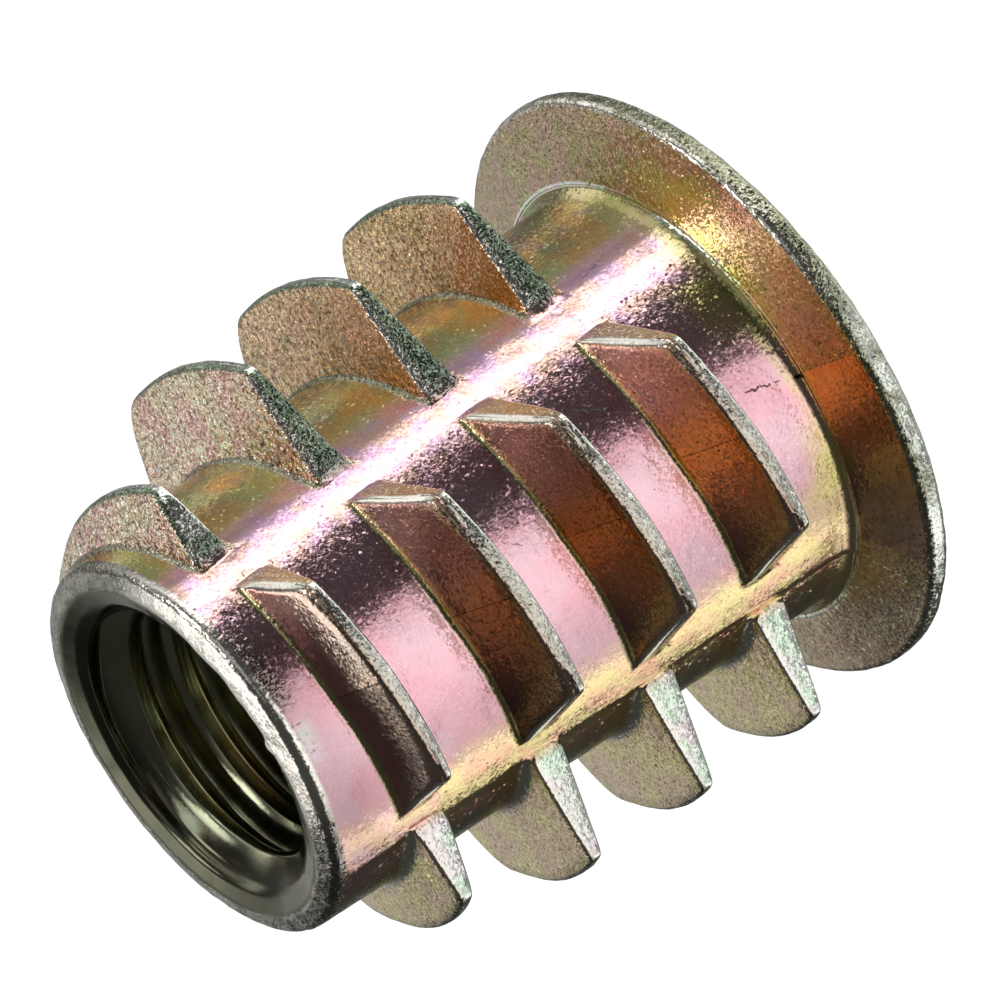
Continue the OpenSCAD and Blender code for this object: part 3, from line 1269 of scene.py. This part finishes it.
        # Painted shade in the hollows at the ribs' feet: dark green on the left and dark ochre in front; the
        # low feet get a painted glint in mint.
        self.lay(FERN_AND_SHADE, 0.75 * foot * self.left)
        self.lay(OCHRE_SHADE, 0.8 * foot * self.front)
        self.lay(MINT_AND_GLINT, 0.7 * foot * self.low)
        up = ease(surface.rise / 0.2)
        end = (surface.place < Grid.CREST) * up
        crest, edge = self.zones(Zone.CREST, Zone.LOWER_EDGE), self.zones(Zone.UPPER_EDGE)
        self.lay(SILVER, crest * up)
        # Painted shade: dark green on the crests' upper corners.
        self.lay(FERN_AND_SHADE, edge * up)
        self.lay(FERN_AND_SHADE, crest * end * self.left)
        self.lay(MINT_AND_GLINT, crest * end * self.low)
        self.lay(HIDE, edge * up * self.front)
        self.lay(RUSSET, 0.45 * self.zones(Zone.CREST) * up * self.front)
        self.lay(TAN, crest * end * self.front)
        # Painted highlight: cream on the upper edge of each rib's slanted end.
        self.lay(CREAM_HIGHLIGHT, edge * end)
        self.grain = self.grain * (1.0 - 0.6 * edge * end * self.front) + 0.3 * edge * end * self.left

    def flange(self) -> None:
        """Lays the films of the neck, the flange and the socket.

        The neck is straw, with painted shade in ochre low in its crease and a painted glint in mint on the
        bead in the crease. The sloping face is moss, with painted shade on its left side, a painted
        reflection in lemon on its high side, amber to umber below the parting line and sand low down. The
        rim is bark, with silver patches on its low side and a painted highlight in cream along its upper
        edge.
        """
        neck = self.zones(Zone.NECK)
        self.lay(STRAW, 0.5 * neck)
        # Painted shade: dark ochre low in the neck's crease on its high side.
        self.lay(OCHRE_SHADE, self.below(0.95, 0.4) * self.sector(Sector.NECK_HIGH))
        # Painted glint: mint on the bead in the neck's crease.
        self.lay(MINT_AND_GLINT, neck * ease((self.radius - 4.585) / 0.04))
        slope = self.zones(Zone.UNDERSIDE)
        self.lay(MOSS, slope)
        # Painted shade: the sloping face darker on its left side.
        self.shade(slope * self.sector(Sector.FLANGE_LEFT), 0.75)
        self.lay(OLIVE, 0.7 * slope * self.sector(Sector.FLANGE_HIGH))
        # Painted reflection: a lemon patch where the underside mirrors the collar's highlight.
        patch = bell(turned(self.azimuth + 50.0), 12.0) * bell(self.radius - 5.1, 0.5)
        self.lay(LEMON_REFLECTION, slope * np.minimum(1.0, 1.5 * patch))
        beta, front = self.surface.beta, slope * (self.surface.column == 1)
        self.lay(AMBER, front * (beta <= 0.0))
        self.lay(UMBER, front * ease((-beta - 14.0) / 18.0))
        self.lay(SAND, slope * self.sector(Sector.FLANGE_LOW))
        rim = self.zones(Zone.RIM)
        cloud = self.noise.cloud(self.surface.points, 0.25, 2)
        self.lay(BARK, rim)
        self.lay(SILVER, rim * ease(0.85 + 1.2 * cloud) * self.sector(Sector.RIM_LOW))
        edge = rim * (self.height > 0.34)
        self.lay(BARK, edge)
        # Painted highlight: cream in broken patches along the rim's upper edge, on its high side.
        self.lay(CREAM_HIGHLIGHT, edge * ease(0.9 + 1.6 * cloud) * self.sector(Sector.RIM_HIGH))
        self.lay(GOLD, self.zones(Zone.SOCKET, Zone.OUTER_FACE))

    def ends(self) -> None:
        """Lays the films of the bore, the mouth and the lip.

        The bore and the mouth are painted dark as shade, and two gleams follow the first turns of the
        machine thread. The lip is dark, with a painted highlight on its near side and on its far rounding.
        """
        bore = self.zones(Zone.BORE)
        # Painted shade: the bore dark inside, and near black over its first half millimetre.
        self.lay(MURK_SHADE, bore)
        depth = self.surface.points[..., 2].max() - self.height
        self.lay(INK_SHADE, bore * (1.0 - ease((depth - 0.5) / 0.1)))
        gleam = bell(depth - 0.86, 0.08) + 0.9 * bell(depth - 1.78, 0.08)
        self.lay(GLEAM, bore * self.sector(Sector.BORE_GLEAM) * gleam)
        # Painted shade: the mouth's chamfer near black.
        self.lay(INK_SHADE, self.zones(Zone.MOUTH))
        lip = self.zones(Zone.LIP)
        self.lay(SOOT, lip)
        # Painted highlight: cream on the lip's near side, and on its far rounding.
        self.lay(CREAM_HIGHLIGHT, lip * self.sector(Sector.LIP_NEAR))
        rounding = ease((self.radius - 3.78) / 0.06)
        self.lay(CREAM_HIGHLIGHT, 0.9 * lip * rounding * self.sector(Sector.LIP_FAR))

    def write(self, mesh: bpy.types.Mesh) -> None:
        """Stores the tint as a colour attribute, and the grain and the wear as numbers.

        Args:
            mesh: The mesh of the surface.
        """
        for part in (self.wall, self.flanks, self.crests, self.flange, self.ends):
            part()
        tint = mesh.attributes.new("tint", "FLOAT_COLOR", "POINT")
        colour = np.concatenate([self.tint, np.ones((*self.grain.shape, 1))], axis=-1)
        tint.data.foreach_set("color", colour.astype(np.float32).ravel())
        for name, values in (("grain", self.grain), ("wear", self.wear)):
            number = mesh.attributes.new(name, "FLOAT", "POINT")
            number.data.foreach_set("value", values.astype(np.float32).ravel())


class Nodes:
    """A short hand for making shader nodes; a value is a number, a tuple or another node's socket."""

    def __init__(self, tree: bpy.types.NodeTree) -> None:
        """Keeps the tree."""
        self.tree = tree

    def add(self, kind: str, inputs: dict, **settings: object) -> bpy.types.Node:
        """Adds a node.

        Args:
            kind: The node's type name.
            inputs: For each socket's name or number, a value or the socket that it is linked to.
            settings: Properties of the node.

        Returns:
            The node.
        """
        node = self.tree.nodes.new(kind)
        for name, value in settings.items():
            setattr(node, name, value)
        for name, value in inputs.items():
            if isinstance(value, bpy.types.NodeSocket):
                self.tree.links.new(value, node.inputs[name])
            else:
                node.inputs[name].default_value = value
        return node

    def math(self, operation: str, *values: object) -> bpy.types.NodeSocket:
        """A Math node of that operation on numbers or sockets."""
        return self.add("ShaderNodeMath", dict(enumerate(values)), operation=operation).outputs[0]

    def vector(self, operation: str, *values: object) -> bpy.types.NodeSocket:
        """The vector that a Vector Math node makes of vectors or sockets."""
        inputs = dict(enumerate(values))
        return self.add("ShaderNodeVectorMath", inputs, operation=operation).outputs["Vector"]

    def measure(self, operation: str, *values: object) -> bpy.types.NodeSocket:
        """The number that a Vector Math node makes of vectors or sockets."""
        inputs = dict(enumerate(values))
        return self.add("ShaderNodeVectorMath", inputs, operation=operation).outputs["Value"]

    def scaled(self, vector: object, factor: object) -> bpy.types.NodeSocket:
        """A vector times a number."""
        inputs = {0: vector, "Scale": factor}
        return self.add("ShaderNodeVectorMath", inputs, operation="SCALE").outputs["Vector"]

    def ramp(
        self, value: object, start: float, end: float, low: float, high: float, smooth: bool = True
    ) -> bpy.types.NodeSocket:
        """low where value is start or less, high where it is end or more, eased or straight between.

        Args:
            value: What the ramp follows.
            start: Where it starts.
            end: Where it ends, which may be less than start.
            low: What it gives at start.
            high: What it gives at end.
            smooth: Whether it eases.

        Returns:
            The result's socket.
        """
        inputs = dict(enumerate((value, start, end, low, high)))
        kind = "SMOOTHSTEP" if smooth else "LINEAR"
        return self.add("ShaderNodeMapRange", inputs, interpolation_type=kind).outputs[0]

    def noise(self, where: bpy.types.NodeSocket, size: float, detail: float, rough: float) -> bpy.types.Node:
        """A noise texture with features of that size in millimetres."""
        inputs = {"Vector": where, "Scale": 1.0 / (size * MM), "Detail": detail, "Roughness": rough}
        return self.add("ShaderNodeTexNoise", inputs)

    def cells(self, where: bpy.types.NodeSocket, size: float, feature: str) -> bpy.types.Node:
        """A Voronoi texture with cells of that size in millimetres."""
        inputs = {"Vector": where, "Scale": 1.0 / (size * MM)}
        return self.add("ShaderNodeTexVoronoi", inputs, feature=feature)

    def attribute(self, name: str) -> bpy.types.Node:
        """An Attribute node that reads the mesh's attribute of that name."""
        return self.add("ShaderNodeAttribute", {}, attribute_name=name)


@dataclass(frozen=True)
class Scar:
    """A scratch or a crack: a straight line between two points of the wall, drawn with a wobble.

    Azimuths are in degrees, heights and the width in millimetres. shade multiplies the colour.
    """

    start: tuple[float, float]
    end: tuple[float, float]
    radius: float
    width: float
    shade: float

    def ends(self) -> tuple[Vector, Vector]:
        """Both ends in metres, from their azimuth, height and radius.

        Returns:
            The start and the end.
        """
        points = []
        for azimuth, height in (self.start, self.end):
            angle = math.radians(azimuth)
            place = (self.radius * math.cos(angle), self.radius * math.sin(angle), height)
            points.append(Vector(place) * MM)
        return points[0], points[1]

    def line(self, nodes: Nodes, where: bpy.types.NodeSocket) -> bpy.types.NodeSocket:
        """The scar's shade within its width of the line, easing to 1 away from it.

        The nearest point of the line is its start plus the part of its length that the dot product
        of the two gives, held between 0 and 1.

        Args:
            nodes: The material's nodes.
            where: The place that is shaded.

        Returns:
            The factor's socket.
        """
        start, end = self.ends()
        along = end - start
        away = nodes.vector("SUBTRACT", where, tuple(start))
        reach = nodes.measure("DOT_PRODUCT", away, tuple(along))
        part = nodes.ramp(reach, 0.0, along.length_squared, 0.0, 1.0, smooth=False)
        foot = nodes.scaled(tuple(along), part)
        gap = nodes.measure("LENGTH", nodes.vector("SUBTRACT", away, foot))
        width = self.width * MM
        return nodes.ramp(gap, 0.5 * width, 1.5 * width, self.shade, 1.0)


SCARS = (
    Scar((-86.2, 1.95), (-88.6, 1.25), 4.42, 0.022, 0.12),
    Scar((-88.3, 1.35), (-90.6, 0.87), 4.53, 0.04, 0.06),
    Scar((-90.2, 0.95), (-91.6, 0.72), 4.57, 0.04, 0.06),
    Scar((-87.6, 1.10), (-89.6, 1.60), 4.47, 0.018, 0.4),
    Scar((-90.0, 11.9), (-90.0, 12.75), 3.87, 0.014, 0.35),
    Scar((-39.5, 2.75), (-37.5, 2.1), 4.43, 0.03, 0.6),
    Scar((-66.2, 4.80), (-70.8, 4.33), 4.27, 0.025, 3.0),
    Scar((-81.5, 7.47), (-85.4, 7.2), 4.14, 0.018, 0.35),
    Scar((-93.0, 4.42), (-93.4, 4.36), 4.27, 0.03, 0.2),
    Scar((-82.0, 1.12), (-82.4, 1.06), 4.47, 0.035, 0.2),
    Scar((-78.0, 2.2), (-78.6, 2.14), 4.4, 0.03, 0.25),
)


@dataclass(frozen=True)
class Chromate:
    """The iridescent finish: painted film over bright metal with a fine crinkle.

    Sizes are in millimetres: crinkle and grit are the sizes of the two bumps, and their depths
    follow. flake is that of the facets that glitter, speck that of the light and dark specks,
    crackle that of the mesh of fine cracks, patch that of the patches that have it, and wobble how
    far it strays. Of the flakes, those past tilt_from of 1 start to lean further than lean_least,
    up to lean_most at tilt_to.
    """

    roughness: float = 0.16
    rough_swing: float = 0.08
    crinkle: float = 0.17
    crinkle_depth: float = 0.035
    grit: float = 0.06
    grit_depth: float = 0.022
    flake: float = 0.05
    tilt_from: float = 0.75
    tilt_to: float = 0.95
    lean_least: float = 0.34
    lean_most: float = 1.2
    speck: float = 0.09
    speck_swing: float = 1.8
    crackle: float = 0.2
    crack_line: float = 0.04
    crack_shade: float = 0.35
    patch: float = 0.8
    patch_from: float = 0.58
    patch_full: float = 0.70
    wobble: float = 0.22

    def glitter(
        self, nodes: Nodes, where: bpy.types.NodeSocket, grain: bpy.types.NodeSocket
    ) -> bpy.types.NodeSocket:
        """The normal, tilted at random in each flake: a little in most, far in a few.

        Args:
            nodes: The material's nodes.
            where: Object coordinates.
            grain: How grainy the film is.

        Returns:
            The normal's socket.
        """
        colour = nodes.cells(where, self.flake, "F1").outputs["Color"]
        tilt = nodes.vector("SUBTRACT", colour, (0.5, 0.5, 0.5))
        pick = nodes.add("ShaderNodeSeparateXYZ", {0: colour}).outputs[2]
        lean = nodes.ramp(pick, self.tilt_from, self.tilt_to, self.lean_least, self.lean_most)
        moved = nodes.scaled(tilt, nodes.math("MULTIPLY", lean, grain))
        normal = nodes.add("ShaderNodeNewGeometry", {}).outputs["Normal"]
        return nodes.vector("NORMALIZE", nodes.vector("ADD", normal, moved))

    def cracks(self, nodes: Nodes, drawn: bpy.types.NodeSocket) -> bpy.types.NodeSocket:
        """The shade of the fine cracks: lines between cells, in patches, where the film is worn.

        Args:
            nodes: The material's nodes.
            drawn: Object coordinates with a wobble.

        Returns:
            The factor's socket: 1 less crack_shade on a line.
        """
        edge = nodes.cells(drawn, self.crackle, "DISTANCE_TO_EDGE").outputs["Distance"]
        line = nodes.ramp(edge, 0.0, self.crack_line, 1.0, 0.0, smooth=False)
        where = nodes.add("ShaderNodeTexCoord", {}).outputs["Object"]
        patch = nodes.noise(where, self.patch, 1.0, 0.5).outputs["Fac"]
        patch = nodes.ramp(patch, self.patch_from, self.patch_full, 0.0, 1.0, smooth=False)
        wear = nodes.attribute("wear").outputs["Fac"]
        cracks = nodes.math("MULTIPLY", nodes.math("MULTIPLY", line, patch), wear)
        return nodes.math("MULTIPLY_ADD", cracks, -self.crack_shade, 1.0)

    def material(self) -> bpy.types.Material:
        """Metal in the painted tint, with specks in its colour and a bump that follows the grain.

        The tint is multiplied by the specks, whose swing goes with the grain squared, by the scars
        and by the cracks.

        Returns:
            The material.
        """
        material = bpy.data.materials.new("yellow_chromate")
        material.use_nodes = True
        nodes = Nodes(material.node_tree)
        shader = material.node_tree.nodes["Principled BSDF"]
        where = nodes.add("ShaderNodeTexCoord", {}).outputs["Object"]
        grain = nodes.attribute("grain").outputs["Fac"]
        crinkle = nodes.noise(where, self.crinkle, 2.0, 0.6)
        grit = nodes.noise(where, self.grit, 1.0, 0.6).outputs["Fac"]
        speck = nodes.noise(where, self.speck, 1.0, 0.6).outputs["Fac"]
        wobble = nodes.vector("SUBTRACT", crinkle.outputs["Color"], (0.5, 0.5, 0.5))
        drawn = nodes.vector("ADD", where, nodes.scaled(wobble, self.wobble * MM))

        swing = nodes.math("SUBTRACT", speck, 0.5)
        swing = nodes.math("MULTIPLY", swing, nodes.math("MULTIPLY", grain, grain))
        level = nodes.math("MULTIPLY_ADD", swing, self.speck_swing, 1.0)
        for scar in SCARS:
            level = nodes.math("MULTIPLY", level, scar.line(nodes, drawn))
        level = nodes.math("MULTIPLY", level, self.cracks(nodes, drawn))
        lit = nodes.scaled(nodes.attribute("tint").outputs["Color"], level)

        least = self.roughness - self.rough_swing / 2.0
        rough = nodes.math("MULTIPLY_ADD", crinkle.outputs["Fac"], self.rough_swing, least)
        normal = self.glitter(nodes, where, grain)
        for depth, relief in ((self.grit_depth, grit), (self.crinkle_depth, crinkle.outputs["Fac"])):
            bump = {"Strength": grain, "Distance": depth * MM, "Height": relief, "Normal": normal}
            normal = nodes.add("ShaderNodeBump", bump).outputs[0]
        links = material.node_tree.links
        links.new(lit, shader.inputs["Base Color"])
        links.new(rough, shader.inputs["Roughness"])
        links.new(normal, shader.inputs["Normal"])
        shader.inputs["Metallic"].default_value = 1.0
        return material


@dataclass(frozen=True)
class SoftBox:
    """A soft panel of light, placed by azimuth and elevation in degrees as seen from the insert."""

    azimuth: float
    elevation: float
    half_width: float
    half_height: float
    side_edge: float
    rise_edge: float
    strength: float

    @staticmethod
    def fall(nodes: Nodes, angle: bpy.types.NodeSocket, half: float, edge: float) -> bpy.types.NodeSocket:
        """1 where angle is under half less edge, 0 over half plus edge, in degrees, and eased between."""
        return nodes.ramp(angle, math.radians(half + edge), math.radians(half - edge), 0.0, 1.0)

    def light(
        self, nodes: Nodes, azimuth: bpy.types.NodeSocket, elevation: bpy.types.NodeSocket
    ) -> bpy.types.NodeSocket:
        """The panel's light in a direction: its strength times a fall-off in each angle.

        Args:
            nodes: The world's nodes.
            azimuth: Azimuth of the direction.
            elevation: Its elevation.

        Returns:
            The light's socket.
        """
        turn = nodes.math("SUBTRACT", azimuth, math.radians(self.azimuth))
        turn = nodes.math("ABSOLUTE", nodes.math("WRAP", turn, -math.pi, math.pi))
        tilt = nodes.math("ABSOLUTE", nodes.math("SUBTRACT", elevation, math.radians(self.elevation)))
        side = self.fall(nodes, turn, self.half_width, self.side_edge)
        rise = self.fall(nodes, tilt, self.half_height, self.rise_edge)
        return nodes.math("MULTIPLY", nodes.math("MULTIPLY", side, rise), self.strength)


BOXES = (
    SoftBox(-20.0, -24.0, 15.0, 30.0, 7.0, 14.0, 0.90),
    SoftBox(-21.0, -12.0, 8.0, 34.0, 6.0, 9.0, 0.80),
    SoftBox(-3.0, -20.0, 22.0, 30.0, 20.0, 14.0, 0.35),
    SoftBox(-128.0, -14.0, 49.0, 17.0, 6.0, 12.0, 0.68),
    SoftBox(-110.0, -14.0, 26.0, 17.0, 22.0, 12.0, 0.38),
    SoftBox(178.0, -22.0, 13.0, 18.0, 8.0, 10.0, 0.95),
    SoftBox(55.0, 0.0, 38.0, 40.0, 14.0, 16.0, 0.12),
    SoftBox(95.0, 2.0, 17.0, 30.0, 14.0, 14.0, 0.50),
    SoftBox(80.0, 27.0, 8.0, 12.0, 8.0, 12.0, 0.17),
    SoftBox(90.0, 57.0, 28.0, 15.0, 14.0, 12.0, 1.30),
    SoftBox(12.0, 12.0, 26.0, 14.0, 14.0, 12.0, 0.45),
    SoftBox(-50.0, 42.0, 22.0, 14.0, 14.0, 12.0, 0.30),
    SoftBox(5.0, 58.0, 22.0, 13.0, 8.0, 6.0, 2.60),
    SoftBox(43.0, 4.0, 9.0, 26.0, 6.0, 8.0, 0.80),
)


@dataclass(frozen=True)
class Studio:
    """Camera, table and the light all round.

    The camera looks at target, in millimetres, from an azimuth and an elevation and is rolled about
    its own axis. The glow is the table's light from below the horizon, stronger on one side.
    """

    target: tuple[float, float, float] = (1.006, -2.960, 6.515)
    distance: float = 151.16
    azimuth: float = 10.24
    elevation: float = 25.8
    roll: float = 125.32
    field: float = 6.733
    ambient: float = 0.045
    glow_azimuth: float = -20.0
    glow_level: float = 0.62
    glow_swing: float = 0.75
    glow_from: float = 34.0
    glow_full: float = 50.0
    table_half: float = 1500.0
    table_gap: float = 0.02
    table_grey: float = 0.8
    table_lift: float = 0.9

    def camera(self) -> None:
        """A long lens, turned about its own axis by the roll."""
        azimuth, elevation = math.radians(self.azimuth), math.radians(self.elevation)
        roll = math.radians(self.roll)
        level = math.cos(elevation)
        back = Vector((math.sin(azimuth) * level, -math.cos(azimuth) * level, math.sin(elevation)))
        side = Vector((math.cos(azimuth), math.sin(azimuth), 0.0))
        upright = back.cross(side)
        up = upright * math.cos(roll) + side * math.sin(roll)
        right = up.cross(back)
        data = bpy.data.cameras.new("camera")
        data.sensor_width = 36.0
        data.angle = math.radians(self.field)
        data.clip_start, data.clip_end = 0.01, 10.0
        camera = bpy.data.objects.new("camera", data)
        turn = Matrix((right, up, back)).transposed().to_4x4()
        place = Vector(self.target) * MM + back * (self.distance * MM)
        camera.matrix_world = Matrix.Translation(place) @ turn
        bpy.context.scene.collection.objects.link(camera)
        bpy.context.scene.camera = camera

    def light(self, nodes: Nodes) -> bpy.types.NodeSocket:
        """The light in a direction: the ambient, every soft box, and the glow.

        The glow eases in below the horizon and follows the cosine of the angle from its own
        direction.

        Args:
            nodes: The world's nodes.

        Returns:
            The light's socket.
        """
        ray = nodes.add("ShaderNodeTexCoord", {}).outputs["Generated"]
        ray = nodes.vector("NORMALIZE", ray)
        x, y, z = nodes.add("ShaderNodeSeparateXYZ", {0: ray}).outputs
        azimuth, elevation = nodes.math("ARCTAN2", y, x), nodes.math("ARCSINE", z)
        toward = math.radians(self.glow_azimuth)
        along = nodes.measure("DOT_PRODUCT", ray, (math.cos(toward), math.sin(toward), 0.0))
        glow = nodes.math("MULTIPLY_ADD", along, self.glow_swing, self.glow_level)
        ends = (math.radians(self.glow_from), math.radians(self.glow_full))
        under = nodes.ramp(nodes.math("MULTIPLY", elevation, -1.0), *ends, 0.0, 1.0)
        total = nodes.math("MULTIPLY_ADD", glow, under, self.ambient)
        for box in BOXES:
            total = nodes.math("ADD", total, box.light(nodes, azimuth, elevation))
        return total

    def world(self) -> None:
        """White to the camera, and the studio's light to every other ray."""
        world = bpy.data.worlds.new("studio")
        bpy.context.scene.world = world
        world.use_nodes = True
        world.node_tree.nodes.clear()
        nodes = Nodes(world.node_tree)
        colour = (1.0, 1.0, 1.0, 1.0)
        light = nodes.add("ShaderNodeBackground", {"Color": colour, "Strength": self.light(nodes)})
        white = nodes.add("ShaderNodeBackground", {"Color": colour, "Strength": 1.0})
        seen = nodes.add("ShaderNodeLightPath", {}).outputs["Is Camera Ray"]
        mixed = nodes.add("ShaderNodeMixShader", {0: seen, 1: light.outputs[0], 2: white.outputs[0]})
        nodes.add("ShaderNodeOutputWorld", {0: mixed.outputs[0]})

    def floor(self) -> None:
        """A pale table just under the flange, which only the camera sees and only the insert shades."""
        size = self.table_half * MM
        corners = [(-size, -size), (size, -size), (size, size), (-size, size)]
        mesh = bpy.data.meshes.new("floor")
        mesh.from_pydata([(x, y, -self.table_gap * MM) for x, y in corners], [], [(0, 1, 2, 3)])
        floor = bpy.data.objects.new("floor", mesh)
        bpy.context.scene.collection.objects.link(floor)
        material = bpy.data.materials.new("pale_table")
        material.use_nodes = True
        material.node_tree.nodes.clear()
        nodes = Nodes(material.node_tree)
        grey = self.table_grey
        paper = nodes.add("ShaderNodeBsdfDiffuse", {"Color": (grey, grey, grey, 1.0)})
        lift = {"Color": (1.0, 1.0, 1.0, 1.0), "Strength": self.table_lift}
        lit = nodes.add("ShaderNodeEmission", lift)
        both = nodes.add("ShaderNodeAddShader", {0: paper.outputs[0], 1: lit.outputs[0]})
        nodes.add("ShaderNodeOutputMaterial", {0: both.outputs[0]})
        mesh.materials.append(material)
        floor.visible_glossy = False
        floor.visible_diffuse = False
        floor.visible_shadow = False


def main() -> None:
    """Builds the studio and the insert in order, and reports each piece."""
    logging.basicConfig(level=logging.INFO, format="%(name)s: %(message)s")
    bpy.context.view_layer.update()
    studio = Studio()
    studio.camera()
    studio.world()
    studio.floor()
    bpy.context.scene.view_settings.view_transform = "Standard"
    insert = Insert()
    surface = insert.build()
    mesh = surface.mesh("insert_casting")
    Paint(surface, insert.noise).write(mesh)
    piece = bpy.data.objects.new("insert_casting", mesh)
    bpy.context.scene.collection.objects.link(piece)
    mesh.materials.append(Chromate().material())
    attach(piece, "root")
    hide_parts(NODE)
    LOG.info("%s: %d faces, rows %d", piece.name, len(mesh.polygons), surface.zone.shape[0])


if __name__ == "__main__":
    main()
